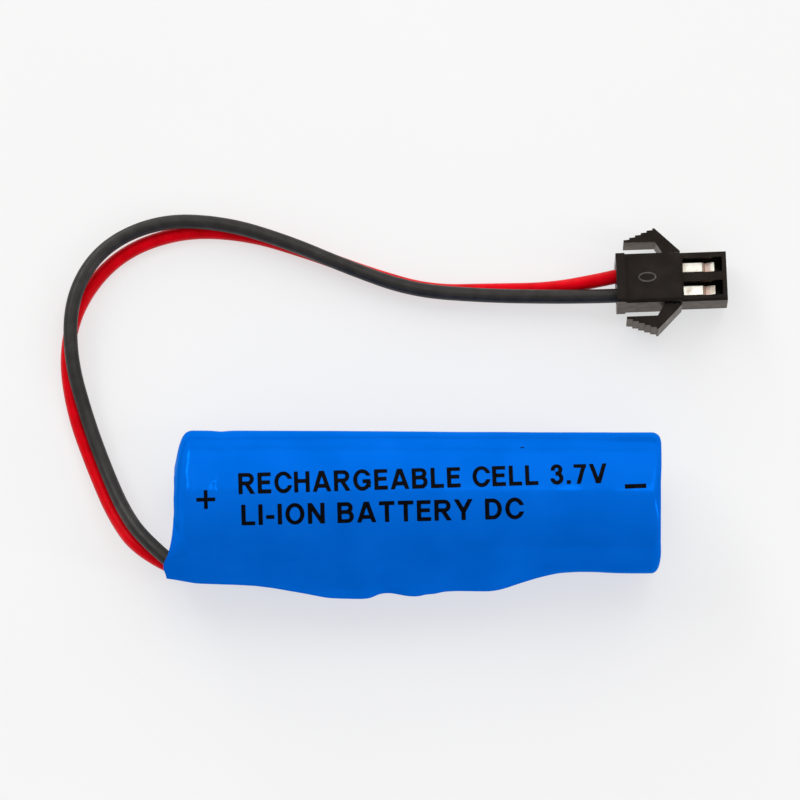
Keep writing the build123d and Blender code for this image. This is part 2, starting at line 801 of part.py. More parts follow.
# the sleeve bulges over the board and wires: place along the cell, half-width and height of the
# bulge's flat top, then of its shoulders
bulge = (
    (lip_tip, 0.9, 7.98, 2.1, 7.35),
    (-24.4, 1.9, 8.2, 3.2, 7.75),
    (-23.0, 2.6, 8.37, 3.5, 7.75),
    (-17.2, 2.6, 8.6, 3.5, 7.85),
    (-12.0, 2.3, 9.4, 3.0, 8.6),
    (-8.8, 2.1, 9.95, 2.8, 9.2),
    (-4.7, 2.1, 9.98, 2.8, 9.2),
    (-3.9, 1.9, 9.5, 2.7, 8.9),
    (-2.6, 1.9, 9.4, 2.7, 8.85),
    (-1.0, 1.9, 9.7, 2.7, 8.9),
    (0.5, 1.9, 9.7, 2.7, 8.9),
    (2.6, 1.8, 9.3, 2.7, 8.8),
    (8.2, 1.8, 9.25, 2.7, 8.75),
    (11.0, 1.5, 8.3, 2.4, 7.8),
    (15.3, 0.5, 7.26, 1.1, 7.15),
)
flank = (5.3, 4.75)         # the bulge's sides sink into the round sleeve here
flap_flank = (3.4, 5.4)     # and at the free tip of the film
sleeve_bore = sleeve_radius - film
barrel_left = 17.4          # the plain round end of the sleeve starts here, past a slight waist
waist, waist_run = 0.06, 1.2
left_lip, right_lip = -25.02, sleeve_right - film


def bulge_outline(station, skin):
    """Half of a bulge section, inset by the film's thickness for the inside."""
    x, top_half, top, side_half, side = station
    reach, level = flap_flank if x == lip_tip else flank
    floor = level - 0.4 if skin == 0 else level - 1.2
    return [
        (top_half - 0.5 * skin, top - skin),
        (side_half - 0.95 * skin, side - 0.5 * skin),
        (reach - 1.15 * skin, level),
        (reach - 1.15 * skin, floor),
    ]


with BuildPart() as shrink_sleeve:
    with BuildSketch(side_view):
        with BuildLine():
            FilletPolyline(
                (left_lip - film, 0),
                (left_lip - film, 3.88),
                (-23.94, sleeve_radius),
                (barrel_left - 2 * waist_run, sleeve_radius),
                (barrel_left - waist_run, sleeve_radius - waist),
                (barrel_left, sleeve_radius),
                (sleeve_right, sleeve_radius),
                (sleeve_right, 0),
                radius=[0.67, 1.07, 0, 0, 0, 0.67],
            )
            Line((sleeve_right, 0), (left_lip - film, 0))
        make_face()
    revolve(axis=cell_axis)
    for station in bulge:
        half = bulge_outline(station, 0)
        with BuildSketch(slice_at(station[0])):
            with BuildLine():
                Polyline(*half, *[(-w, d) for w, d in reversed(half)], close=True)
            make_face()
    loft(ruled=True)
    with BuildSketch(side_view):
        with BuildLine():
            Polyline((left_lip, 3.3), (left_lip - 1, 3.3), (left_lip - 1, 0), (right_lip + 1, 0))
            Polyline((right_lip + 1, 0), (right_lip + 1, 4.4), (right_lip, 4.4))
            FilletPolyline(
                (left_lip, 3.3),
                (left_lip, 3.85),
                (-23.82, sleeve_bore),
                (barrel_left - 2 * waist_run, sleeve_bore),
                (barrel_left - waist_run, sleeve_bore - waist),
                (barrel_left, sleeve_bore),
                (right_lip, sleeve_bore),
                (right_lip, 4.4),
                radius=[0.5, 0.9, 0, 0, 0, 0.5],
            )
        make_face()
    revolve(axis=cell_axis, mode=Mode.SUBTRACT)
    for station in bulge:
        reach = -1 if station[0] == lip_tip else 0
        half = bulge_outline(station, film)
        with BuildSketch(slice_at(station[0] + reach)):
            with BuildLine():
                Polyline(*half, *[(-w, d) for w, d in reversed(half)], close=True)
            make_face()
    loft(ruled=True, mode=Mode.SUBTRACT)
shrink_sleeve.part.label = "shrink_sleeve"
export_step(shrink_sleeve.part, "parts/shrink_sleeve.step")
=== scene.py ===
"""Sleeved rechargeable cell with a wired plug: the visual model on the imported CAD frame.

Metres, +Z up, the photograph's camera looking towards +Y and down. Sizes written in millimetres are
turned to metres with MM where they reach Blender.
"""

import json
from math import cos, pi, radians, sin

import bmesh
import bpy
import numpy as np
from mathutils import Matrix, Vector, noise


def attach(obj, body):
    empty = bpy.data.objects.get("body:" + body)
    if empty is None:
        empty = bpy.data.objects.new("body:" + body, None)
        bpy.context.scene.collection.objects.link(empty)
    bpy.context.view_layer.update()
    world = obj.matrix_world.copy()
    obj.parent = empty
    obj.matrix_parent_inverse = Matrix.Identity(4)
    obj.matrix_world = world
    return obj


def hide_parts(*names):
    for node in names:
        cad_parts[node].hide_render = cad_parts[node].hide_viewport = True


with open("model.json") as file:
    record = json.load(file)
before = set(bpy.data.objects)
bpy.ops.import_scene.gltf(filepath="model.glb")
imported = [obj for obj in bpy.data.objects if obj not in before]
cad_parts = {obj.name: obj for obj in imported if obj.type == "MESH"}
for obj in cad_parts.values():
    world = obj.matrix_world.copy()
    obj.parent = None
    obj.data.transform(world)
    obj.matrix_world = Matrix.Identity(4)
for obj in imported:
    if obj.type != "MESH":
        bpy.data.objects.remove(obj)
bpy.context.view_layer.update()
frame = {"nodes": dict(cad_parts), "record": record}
nodes = frame["nodes"]
MM = 0.001

# ---------------------------------------------------------------- camera and stage
scene = bpy.context.scene
scene.view_settings.view_transform = "Standard"

camera_data = bpy.data.cameras.new("camera")
camera_data.lens = 429.9
camera_data.clip_start, camera_data.clip_end = 0.01, 20
camera = bpy.data.objects.new("camera", camera_data)
camera.location = Vector((-1.34, -212.43, 981.67)) * MM
camera.rotation_euler = (radians(13), 0, 0)     # 13 degrees off straight down
scene.collection.objects.link(camera)
scene.camera = camera


def area_light(name, place, size, power, lengthwise=(0, 0, 1)):
    """A panel facing the origin; its second size runs as near lengthwise as it can."""
    data = bpy.data.lights.new(name, "AREA")
    data.shape = "RECTANGLE"
    data.size, data.size_y = size
    data.energy = power
    light = bpy.data.objects.new(name, data)
    light.location = place
    back = Vector(place).normalized()
    side = Vector(lengthwise).cross(back).normalized()
    light.rotation_euler = Matrix((side, back.cross(side), back)).transposed().to_euler()
    scene.collection.objects.link(light)


area_light("back_panel", (0, 0.53, 0.55), (1.6, 1.1), 2.95)
area_light("left_strip", (-0.64, 0.84, 0.68), (0.30, 1.5), 6.0, (-0.216, -0.714, 0.667))
area_light("high_strip", (0.26, 0.45, 0.95), (0.10, 0.8), 0.95)
area_light("right_strip", (0.85, -0.25, 0.55), (0.12, 1.0), 2.0)

world = bpy.data.worlds.new("studio")
world.use_nodes = True
surround = world.node_tree.nodes["Background"]
surround.inputs["Color"].default_value = (1.0, 0.995, 0.985, 1)
surround.inputs["Strength"].default_value = 0.64
scene.world = world


def add_piece(name, data, material):
    """A new object in the scene with one material."""
    data.materials.append(material)
    piece = bpy.data.objects.new(name, data)
    scene.collection.objects.link(piece)
    return piece


def mesh_from(name, bm):
    """Mesh data from a bmesh, which is freed."""
    data = bpy.data.meshes.new(name)
    bm.to_mesh(data)
    bm.free()
    return data


# ---------------------------------------------------------------- materials
noise_span = (0.3, 0.7)     # where nearly all of a noise texture's values lie
patch_ratio = 1.7           # scale of the roughness patches over that of the colour's


def procedural(name, low, high, scale=900, detail=3, stretch=(1, 1, 1), position=(0.35, 0.7), metal=0.0,
               rough=(0.35, 0.5), bump=0.1, bump_scale=2500, depth=0.02, specular=0.5, tint=(1, 1, 1)):
    """Colour, roughness and relief from noise in object space; scales are per metre, depth in mm.

    The colour runs from low to high between the two noise values in position.
    """
    material = bpy.data.materials.new(name)
    material.use_nodes = True
    tree = material.node_tree
    shader = tree.nodes["Principled BSDF"]
    place = tree.nodes.new("ShaderNodeTexCoord")
    mapping = tree.nodes.new("ShaderNodeMapping")
    mapping.inputs["Scale"].default_value = stretch
    tree.links.new(place.outputs["Object"], mapping.inputs["Vector"])

    def grain(size, levels):
        node = tree.nodes.new("ShaderNodeTexNoise")
        node.inputs["Scale"].default_value = size
        node.inputs["Detail"].default_value = levels
        tree.links.new(mapping.outputs["Vector"], node.inputs["Vector"])
        return node.outputs["Fac"]

    ramp = tree.nodes.new("ShaderNodeValToRGB")
    for stop, color, where in zip(ramp.color_ramp.elements, (low, high), position):
        stop.color, stop.position = (*color, 1), where
    tree.links.new(grain(scale, detail), ramp.inputs["Fac"])
    tree.links.new(ramp.outputs["Color"], shader.inputs["Base Color"])

    spread = tree.nodes.new("ShaderNodeMapRange")
    spread.inputs["From Min"].default_value, spread.inputs["From Max"].default_value = noise_span
    spread.inputs["To Min"].default_value, spread.inputs["To Max"].default_value = rough
    tree.links.new(grain(scale * patch_ratio, 2), spread.inputs["Value"])
    tree.links.new(spread.outputs["Result"], shader.inputs["Roughness"])

    relief = tree.nodes.new("ShaderNodeBump")
    relief.inputs["Strength"].default_value = bump
    relief.inputs["Distance"].default_value = depth * MM
    tree.links.new(grain(bump_scale, 3), relief.inputs["Height"])
    tree.links.new(relief.outputs["Normal"], shader.inputs["Normal"])

    shader.inputs["Metallic"].default_value = metal
    shader.inputs["Specular IOR Level"].default_value = specular
    shader.inputs["Specular Tint"].default_value = (*tint, 1)
    return material


def band_across_x(material, places, color, strength):
    """Mixes a colour in across object X; places are where it starts, is full, fades and ends."""
    tree = material.node_tree
    base = tree.nodes["Principled BSDF"].inputs["Base Color"]
    split = tree.nodes.new("ShaderNodeSeparateXYZ")
    tree.links.new(tree.nodes["Texture Coordinate"].outputs["Object"], split.inputs["Vector"])

    reach = tree.nodes.new("ShaderNodeMapRange")
    start, end = places[0], places[-1]
    reach.inputs["From Min"].default_value, reach.inputs["From Max"].default_value = start, end
    tree.links.new(split.outputs["X"], reach.inputs["Value"])

    band = tree.nodes.new("ShaderNodeValToRGB")
    for stop in band.color_ramp.elements:
        stop.color = (0, 0, 0, 1)
    for place in places[1:-1]:
        stop = band.color_ramp.elements.new((place - start) / (end - start))
        stop.color = (strength, strength, strength, 1)
    tree.links.new(reach.outputs["Result"], band.inputs["Fac"])

    band_mix = tree.nodes.new("ShaderNodeMix")
    band_mix.data_type = "RGBA"
    band_mix.inputs["B"].default_value = (*color, 1)
    tree.links.new(band.outputs["Color"], band_mix.inputs["Factor"])
    tree.links.new(base.links[0].from_socket, band_mix.inputs["A"])
    tree.links.new(band_mix.outputs["Result"], base)


finishes = {
    "steel": procedural("steel", (0.40, 0.41, 0.42), (0.50, 0.51, 0.52), 1400, metal=1.0,
                        stretch=(1, 1, 9), rough=(0.20, 0.32), bump=0.15, bump_scale=3500, depth=0.008),
    "gasket_plastic": procedural("gasket_plastic", (0.72, 0.72, 0.70), (0.82, 0.82, 0.80)),
    "cap_aluminium": procedural("cap_aluminium", (0.52, 0.53, 0.54), (0.64, 0.65, 0.66), 1500, metal=1.0,
                                rough=(0.18, 0.30), bump_scale=3500, depth=0.008),
    "switch_polymer": procedural("switch_polymer", (0.02, 0.02, 0.02), (0.05, 0.05, 0.05)),
    "separator": procedural("separator", (0.86, 0.86, 0.82), (0.94, 0.94, 0.92), rough=(0.5, 0.7)),
    "cathode": procedural("cathode", (0.02, 0.02, 0.022), (0.05, 0.05, 0.055), rough=(0.6, 0.8)),
    "anode": procedural("anode", (0.04, 0.03, 0.02), (0.09, 0.06, 0.04), rough=(0.6, 0.8)),
    "tape": procedural("tape", (0.62, 0.38, 0.08), (0.75, 0.50, 0.15), rough=(0.25, 0.4)),
    "nickel": procedural("nickel", (0.60, 0.58, 0.54), (0.76, 0.74, 0.69), metal=1.0, stretch=(1, 6, 6)),
    "paper": procedural("paper", (0.68, 0.72, 0.62), (0.77, 0.80, 0.72), 3800, detail=5,
                        stretch=(1, 1, 2.5), rough=(0.75, 0.9), bump=0.35, bump_scale=6000, depth=0.015),
    "inner_wrap": procedural("inner_wrap", (0.04, 0.20, 0.07), (0.06, 0.26, 0.10), rough=(0.2, 0.3)),
    "board_green": procedural("board_green", (0.01, 0.09, 0.03), (0.02, 0.16, 0.06), rough=(0.25, 0.4)),
    "chip_black": procedural("chip_black", (0.008, 0.008, 0.008), (0.02, 0.02, 0.02), rough=(0.5, 0.7)),
    "ceramic": procedural("ceramic", (0.40, 0.26, 0.14), (0.52, 0.36, 0.22), rough=(0.3, 0.5)),
    "black_insulation": procedural(
        "black_insulation", (0.008, 0.007, 0.006), (0.022, 0.019, 0.016), 700, detail=4,
        rough=(0.34, 0.52), bump=0.25, bump_scale=3000, depth=0.015, specular=0.32),
    "red_insulation": procedural(
        "red_insulation", (0.55, 0.0, 0.004), (0.71, 0.0, 0.008), 600,
        rough=(0.30, 0.42), bump=0.15, bump_scale=2600, depth=0.012, specular=0.25, tint=(1, 0.10, 0.1)),
    "copper": procedural("copper", (0.70, 0.42, 0.26), (0.90, 0.72, 0.58), 1500, metal=1.0,
                         rough=(0.25, 0.4)),
    "solder": procedural("solder", (0.55, 0.55, 0.56), (0.80, 0.80, 0.80), 1500, metal=1.0,
                         rough=(0.15, 0.35)),
    "plug_black": procedural(
        "plug_black", (0.0084, 0.0073, 0.0066), (0.0150, 0.0132, 0.0120), 500, detail=4, metal=0.2,
        rough=(0.20, 0.32), bump=0.3, bump_scale=5200, depth=0.012, specular=0.09, tint=(1, 0.72, 0.54)),
    "tinned_contact": procedural(
        "tinned_contact", (0.72, 0.62, 0.50), (1.0, 0.97, 0.86), 800, metal=0.55,
        rough=(0.25, 0.45), bump=0.5, bump_scale=1800, depth=0.03, position=(0.36, 0.5)),
    "blue_film": procedural(
        "blue_film", (0.0, 0.121, 0.625), (0.001, 0.137, 0.695), 160, detail=2, metal=0.22,
        rough=(0.12, 0.18), bump=0.12, bump_scale=420, depth=0.03, specular=0.0,
        tint=(0.12, 0.62, 1.0)),
}
# across the contacts, near their tips, a pinkish-brown band is mixed into the colour
band_across_x(finishes["tinned_contact"], (0.0305, 0.03066, 0.03124, 0.0315), (0.58, 0.36, 0.29), 0.75)

slot_of = {part["node"]: part["material_slot"] for part in frame["record"]["subparts"]}
for name, node in nodes.items():
    node.data.materials.clear()
    node.data.materials.append(finishes[slot_of[name]])

# moulded plug parts have slightly rounded edges, after a weld of the CAD mesh's split corners
for name in ("plug_housing", "latch_lever_left", "latch_lever_right"):
    weld = nodes[name].modifiers.new("weld", "WELD")
    weld.merge_threshold = 0.002 * MM
    rounding = nodes[name].modifiers.new("rounding", "BEVEL")
    rounding.width, rounding.segments = 0.09 * MM, 2
    rounding.limit_method, rounding.angle_limit = "ANGLE", radians(35)
    rounding.use_clamp_overlap = True


# ---------------------------------------------------------------- raised ring on the plug
# Sizes in mm; places on the plug are counted forward and left from plug_rear, on the ground.
plug_rear = Vector((21.42, 26.09, 0))
plug_turn = radians(2.2)
plug_forward = Vector((cos(plug_turn), sin(plug_turn), 0))
plug_left = Vector((-sin(plug_turn), cos(plug_turn), 0))
ring_forward = 3.25
ring_steps = 72
# the oval's half-length, half-width and height at each corner of its section
ring_profile = ((0.985, 0.565, 5.47), (0.935, 0.515, 5.575), (0.815, 0.395, 5.575), (0.765, 0.345, 5.47))
ring_mesh = bmesh.new()
hoops = []
for k in range(ring_steps):
    turn = 2 * pi * k / ring_steps
    hoop = []
    for half_length, half_width, height in ring_profile:
        place = plug_rear + plug_forward * (ring_forward + half_length * cos(turn))
        place += plug_left * half_width * sin(turn) + Vector((0, 0, height))
        hoop.append(ring_mesh.verts.new(place * MM))
    hoops.append(hoop)
for hoop, following in zip(hoops, hoops[1:] + hoops[:1]):
    for k in range(len(ring_profile)):
        n = (k + 1) % len(ring_profile)
        ring_mesh.faces.new((hoop[k], following[k], following[n], hoop[n]))
bmesh.ops.recalc_face_normals(ring_mesh, faces=ring_mesh.faces)
# the raised ring is coloured lighter than the rest of the plug
pale_ring = procedural("pale_ring", (0.030, 0.027, 0.024), (0.105, 0.096, 0.088), 1900,
                       rough=(0.30, 0.45), bump=0.3, bump_scale=5200, depth=0.012, specular=0.3)
plug_ring = add_piece("plug_ring", mesh_from("plug_ring", ring_mesh), pale_ring)
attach(plug_ring, "pack")


# ---------------------------------------------------------------- free wires
wire_radius = 0.75 * MM


def free_wire(name, replaced, material, route):
    """A free wire: the route's points, in metres, are the spline's own control points."""
    data = bpy.data.curves.new(name, "CURVE")
    data.dimensions = "3D"
    spline = data.splines.new("NURBS")
    spline.points.add(len(route) - 1)
    for point, place in zip(spline.points, route):
        point.co = (*place, 1)
    spline.order_u = 3
    spline.use_endpoint_u = True
    data.resolution_u = 16
    data.bevel_depth = wire_radius
    data.bevel_resolution = 8
    data.use_fill_caps = True
    piece = add_piece(name, data, material)
    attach(piece, "pack")
    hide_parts(replaced)


black_route = [
    (-0.0253, -0.00465, 0.00673),
    (-0.02807, -0.00214, 0.00609),
    (-0.03014, 0.00109, 0.0042),
    (-0.03203, 0.0056, 0.0022),
    (-0.03426, 0.01168, 0.0017),
    (-0.03614, 0.01839, 0.0025),
    (-0.03597, 0.02496, 0.0027),
    (-0.03284, 0.03027, 0.00235),
    (-0.02684, 0.03316, 0.00225),
    (-0.01993, 0.03289, 0.00232),
    (-0.0133, 0.03083, 0.00236),
    (-0.00678, 0.02801, 0.00232),
    (-0.00015, 0.02556, 0.00232),
    (0.0072, 0.02497, 0.00232),
    (0.0145, 0.02476, 0.0026),
    (0.0199, 0.02473, 0.003),
    (0.02247, 0.02485, 0.003),
    (0.02506, 0.02498, 0.003),
]
red_route = [
    (-0.0253, -0.00464, 0.0043),
    (-0.02858, -0.00305, 0.0043),
    (-0.0313, 0.00106, 0.0021),
    (-0.03369, 0.00693, 0.0008),
    (-0.03579, 0.01277, 0.0008),
    (-0.03666, 0.01919, 0.0008),
    (-0.03515, 0.02492, 0.0008),
    (-0.03096, 0.02995, 0.0008),
    (-0.02448, 0.0324, 0.0008),
    (-0.01754, 0.03209, 0.0008),
    (-0.01092, 0.03004, 0.0008),
    (-0.00449, 0.02763, 0.0008),
    (0.00179, 0.02576, 0.0008),
    (0.0083, 0.02591, 0.0008),
    (0.0145, 0.02588, 0.0013),
    (0.01988, 0.02655, 0.0028),
    (0.0224, 0.02712, 0.003),
    (0.02497, 0.02742, 0.003),
]
free_wire("black_lead", "black_wire", finishes["black_insulation"], black_route)
free_wire("red_lead", "red_wire", finishes["red_insulation"], red_route)

# ---------------------------------------------------------------- shrink film
# All sizes below are in millimetres, in the cell's own frame: along the cell from its middle, and
# the angle and distance from its axis, with angle 0 towards the board and +90 degrees up.
cell_center = Vector((0.4, 1.5, 7.3))
cell_radius = 7.5           # nominal, for the sizes below that scale with the skin
board_tilt = radians(13)
outward = Vector((0, -cos(board_tilt), -sin(board_tilt)))
across = Vector((0, -sin(board_tilt), cos(board_tilt)))
film_thickness = 0.13


def cell_point(x, angle, distance):
    """A place in metres from its place along the cell, angle and distance from the axis."""
    spot = cell_center + Vector((x, 0, 0))
    return (spot + outward * (distance * cos(angle)) + across * (distance * sin(angle))) * MM


# bulge over the wires and board: place, half-width and height of its top, then of its shoulders
bulge = np.array([
    (-26.4, 0.9, 7.88, 2.2, 7.25),
    (-25.3, 1.3, 8.02, 2.5, 7.45),
    (-24.4, 1.8, 8.18, 2.9, 7.65),
    (-23.0, 2.5, 8.41, 3.2, 7.75),
    (-21.3, 2.55, 8.46, 3.2, 7.75),
    (-18.8, 2.5, 8.54, 3.2, 7.80),
    (-16.9, 2.5, 8.64, 3.2, 7.90),
    (-15.0, 2.4, 8.87, 3.1, 8.10),
    (-13.1, 2.3, 9.19, 3.0, 8.40),
    (-11.2, 2.2, 9.53, 2.9, 8.70),
    (-9.3, 2.1, 9.92, 2.8, 9.10),
    (-7.5, 2.1, 9.99, 2.8, 9.15),
    (-5.6, 2.1, 10.02, 2.8, 9.15),
    (-4.7, 2.0, 9.92, 2.8, 9.05),
    (-3.9, 1.8, 9.46, 2.7, 8.85),
    (-2.8, 1.7, 9.38, 2.7, 8.80),
    (-1.9, 1.8, 9.54, 2.7, 8.80),
    (-0.9, 1.9, 9.74, 2.7, 8.85),
    (0.3, 1.9, 9.77, 2.7, 8.85),
    (0.9, 1.8, 9.52, 2.7, 8.80),
    (1.9, 1.7, 9.51, 2.7, 8.80),
    (2.7, 1.7, 9.26, 2.7, 8.75),
    (4.2, 1.7, 9.18, 2.7, 8.70),
    (7.5, 1.7, 9.24, 2.7, 8.70),
    (8.5, 1.8, 9.12, 2.7, 8.65),
    (9.4, 1.9, 8.86, 2.6, 8.35),
    (10.3, 1.7, 8.56, 2.5, 8.05),
    (11.25, 1.5, 8.24, 2.3, 7.80),
    (12.2, 1.3, 7.95, 2.0, 7.60),
    (13.1, 1.1, 7.70, 1.8, 7.40),
    (14.1, 0.9, 7.49, 1.5, 7.25),
    (15.0, 0.6, 7.32, 1.2, 7.10),
    (15.9, 0.4, 7.14, 0.8, 7.00),
])
# the two wires under the film: place, then distance of their middles to each side and up
wires_under = np.array([
    (-26.4, 1.0, 5.6), (-25.7, 1.3, 6.15), (-24.8, 1.42, 7.12), (-23.0, 2.25, 7.45), (-21.3, 2.35, 7.40),
    (-17.4, 2.3, 7.52), (-13.2, 1.95, 8.2), (-9.2, 1.45, 9.0), (-5.9, 1.35, 9.05), (-5.0, 1.35, 8.6),
])
wire_cover = 0.92
# the round part's radius along the cell, under the board side and on the far side
board_side = np.array([
    (-27, 7.3), (15.0, 7.33), (16.9, 7.22), (18.7, 7.24), (20.6, 7.35), (22.2, 7.38), (26, 7.36),
])
far_side = np.array([(-27, 7.55), (-14, 7.54), (-5, 7.49), (4, 7.43), (11, 7.38), (26, 7.36)])
bead_place, bead_dip, bead_spread = -20.45, 0.12, 0.6     # the can's groove below its rim
corner_round = 0.5          # radius of the bulge's four corners
steepest = 1.25             # a flat of the hull counts up to this many radians off its direction
smooth_rows = 1.7


def sleeve_distance(places, angles):
    """Distance of the film's skin from the axis: the tight hull of the round cell and the bulge."""
    normals = np.linspace(-pi, pi, 1080, endpoint=False)
    turn = (angles[:, None] - normals[None, :] + pi) % (2 * pi) - pi
    facing = np.cos(turn)
    facing[np.abs(turn) > steepest] = 1e-6
    rows = []
    for x in places:
        near, far = np.interp(x, *board_side.T), np.interp(x, *far_side.T)
        reach = near + (far - near) * ((1 - np.cos(normals)) / 2) ** 2
        reach = reach - bead_dip * np.exp(-(((x - bead_place) / bead_spread) ** 2))
        top_half, top, side_half, side = (np.interp(x, bulge[:, 0], bulge[:, k]) for k in (1, 2, 3, 4))
        for half, height in ((top_half, top), (side_half, side)):
            for sign in (-1, 1):
                corner = (height - corner_round) * np.cos(normals)
                corner += sign * (half - corner_round) * np.sin(normals) + corner_round
                reach = np.maximum(reach, corner)
        if x < wires_under[-1, 0]:
            half, height = (np.interp(x, wires_under[:, 0], wires_under[:, k]) for k in (1, 2))
            cover = height * np.cos(normals) + half * np.abs(np.sin(normals)) + wire_cover
            reach = np.maximum(reach, cover)
        rows.append(np.min(reach[None, :] / facing, axis=1, where=facing > 1e-3, initial=1e3))
    return np.array(rows)


def smooth_along(rows, spread):
    """Evens out the film along the cell; spread counts rows."""
    reach = int(3 * spread) + 1
    weights = np.exp(-0.5 * (np.arange(-reach, reach + 1) / spread) ** 2)
    weights /= weights.sum()
    padded = np.concatenate([rows[:1].repeat(reach, 0), rows, rows[-1:].repeat(reach, 0)])
    return sum(w * padded[k:k + len(rows)] for k, w in enumerate(weights))


def ease(low, high, value):
    """A soft step from 0 at low to 1 at high."""
    t = np.clip((value - low) / (high - low), 0, 1)
    return t * t * (3 - 2 * t)


def ripple(x, angle):
    """The skin's own unevenness: long waves and finer ones."""
    wave = noise.noise(Vector((x * 0.22, cos(angle) * 2.4, sin(angle) * 2.4 + 3)))
    fine = noise.noise(Vector((x * 0.9, cos(angle) * 7, sin(angle) * 7 - 5)))
    return 0.022 * wave + 0.006 * fine


around = 288                # corners of the film's grid round the cell
angles = np.linspace(-pi, pi, around, endpoint=False)
degrees = np.degrees(angles)
side_angle = np.abs(degrees)
step = 0.2                  # and its spacing along the cell
left_end_rows, right_corner_rows, right_face_rows = 24, 10, 12
left_turn, right_turn = -23.1, 24.5     # where the film starts to turn in over the two ends
places = np.arange(-26.8, 25.01, step)
skin = smooth_along(sleeve_distance(places, angles), smooth_rows)


def skin_at(x):
    """The film's distance at any place along the cell, for every angle (x may differ by angle)."""
    t = np.clip((np.asarray(x) - places[0]) / step, 0, len(places) - 1.001)
    k = t.astype(int)
    column = np.arange(around)
    return skin[k, column] * (1 - (t - k)) + skin[k + 1, column] * (t - k)


# left end: a shallow dome with a hole, drawn out towards the board into a lip over the wires
dome = np.array([
    (-23.10, 7.52), (-23.50, 7.51), (-23.85, 7.44), (-24.14, 7.26), (-24.40, 6.96), (-24.60, 6.54),
    (-24.78, 6.04), (-24.92, 5.48), (-25.04, 4.90), (-25.14, 4.34), (-25.22, 3.96), (-25.28, 3.70),
    (-25.29, 3.50), (-25.24, 3.32),
])
dome_run = np.concatenate([[0], np.cumsum(np.hypot(*np.diff(dome, axis=0).T))])
dome_run /= dome_run[-1]
pleat_depth = 0.035
pleat = np.array([noise.noise(Vector((cos(a) * 4, sin(a) * 4, 1.7))) for a in angles])
lip = 1 - ease(34, 74, side_angle)
lip_reach = -26.08 - 0.30 * np.exp(-(((degrees - 24) / 12) ** 2)) + 0.5 * ease(28, 58, side_angle)
left_rows = []
for t in np.linspace(0, 1, left_end_rows + 1)[1:]:
    dome_x, dome_r = np.interp(t, dome_run, dome[:, 0]), np.interp(t, dome_run, dome[:, 1])
    lip_x = left_turn + (lip_reach - left_turn) * t
    dome_here = dome_r * (skin_at(np.full(around, left_turn)) / cell_radius) ** (1 - t)
    x = dome_x + (lip_x - dome_x) * lip
    r = dome_here + (skin_at(lip_x) - dome_here) * lip
    x = x - pleat_depth * pleat * ease(0.35, 1.0, t) * (1 - lip)
    left_rows.append((x, r))

# right end: a soft corner and a flat rolled-in edge, a little uneven around
end_swell = np.interp(side_angle, [0, 30, 45, 75, 110, 130, 160, 180],
                      [0.0, 0.05, -0.02, -0.05, -0.04, 0.04, 0.11, 0.05])
corner_drop = 0.75 + 0.65 * (1 - ease(15, 60, side_angle))
corner_reach = 0.88
right_rows = []
for turn in np.linspace(0, pi / 2, right_corner_rows + 1)[1:]:
    x = right_turn + corner_reach * sin(turn) + end_swell * sin(turn)
    right_rows.append((x, skin_at(np.full(around, right_turn)) - corner_drop * (1 - cos(turn))))
edge_wave = np.array([noise.noise(Vector((cos(a) * 2.2, sin(a) * 2.2, 7.1))) for a in angles])
hole_radius = 4.45 + 0.18 * edge_wave
corner_x, corner_r = right_rows[-1]
for t in np.linspace(0, 1, right_face_rows + 1)[1:]:
    x = corner_x + 0.03 * sin(pi * t) - 0.02 * t + 0.05 * edge_wave * t
    right_rows.append((x, corner_r + (hole_radius - corner_r) * t))

body_places = np.arange(left_turn, right_turn + 1e-6, step)
body_rows = [(np.full(around, x), skin_at(np.full(around, x))) for x in body_places]
all_rows = left_rows[::-1] + body_rows + right_rows

# small dents: place along the cell, angle in degrees, half-lengths along and around, depth
dents = ((-12.7, 33, 0.5, 0.35, 0.12), (-3.8, 27, 0.4, 0.4, 0.05), (-25.1, 58, 0.22, 1.0, 0.14),
         (12.5, 40, 0.9, 0.5, 0.04), (21.8, 60, 0.7, 0.8, 0.03))
# crinkles in two bands round the left end's far shoulder, where the film was gathered
crinkle_places, crinkle_spread, crinkle_depth = (-24.0, -20.75), 0.5, 0.085
crinkle_window = ease(98, 108, degrees) * (1 - ease(128, 140, degrees))
film_mesh = bmesh.new()
grid = []
for x_row, r_row in all_rows:
    ring = []
    for k in range(around):
        x, r, a = float(x_row[k]), float(r_row[k]), float(angles[k])
        r += ripple(x, a)
        crinkle = crinkle_depth * noise.noise(Vector((x * 2.1, a * 9.0, 4.0))) * crinkle_window[k]
        r += crinkle * sum(np.exp(-(((x - place) / crinkle_spread) ** 2)) for place in crinkle_places)
        for dent_x, dent_angle, half_along, half_around, depth in dents:
            off_along = (x - dent_x) / half_along
            off_around = cell_radius * radians(degrees[k] - dent_angle) / half_around
            r -= depth * np.exp(-(off_along ** 2 + off_around ** 2))
        point = cell_point(x, a, r)
        point.z = max(point.z, 0.005 * MM)      # never under the ground
        ring.append(film_mesh.verts.new(point))
    grid.append(ring)
for ring, following in zip(grid, grid[1:]):
    for k in range(around):
        n = (k + 1) % around
        film_mesh.faces.new((ring[k], ring[n], following[n], following[k]))
bmesh.ops.recalc_face_normals(film_mesh, faces=film_mesh.faces)
film_data = mesh_from("film_sleeve", film_mesh)
for face in film_data.polygons:
    face.use_smooth = True
film_sleeve = add_piece("film_sleeve", film_data, finishes["blue_film"])
thicken = film_sleeve.modifiers.new("thickness", "SOLIDIFY")
thicken.thickness = film_thickness * MM
thicken.offset = -1
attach(film_sleeve, "pack")
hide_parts("shrink_sleeve")

# ---------------------------------------------------------------- print on the film
ink = procedural("print_ink", (0.0008, 0.0008, 0.0012), (0.003, 0.003, 0.0045), 1500,
                 rough=(0.30, 0.45), bump=0.2, bump_scale=6000, depth=0.006, specular=0.03)
ink_lift = 0.02
print_radius = 7.4          # turns a rise across the print into an angle round the cell
cut_reach, cut_pitch = 1.17, 0.18


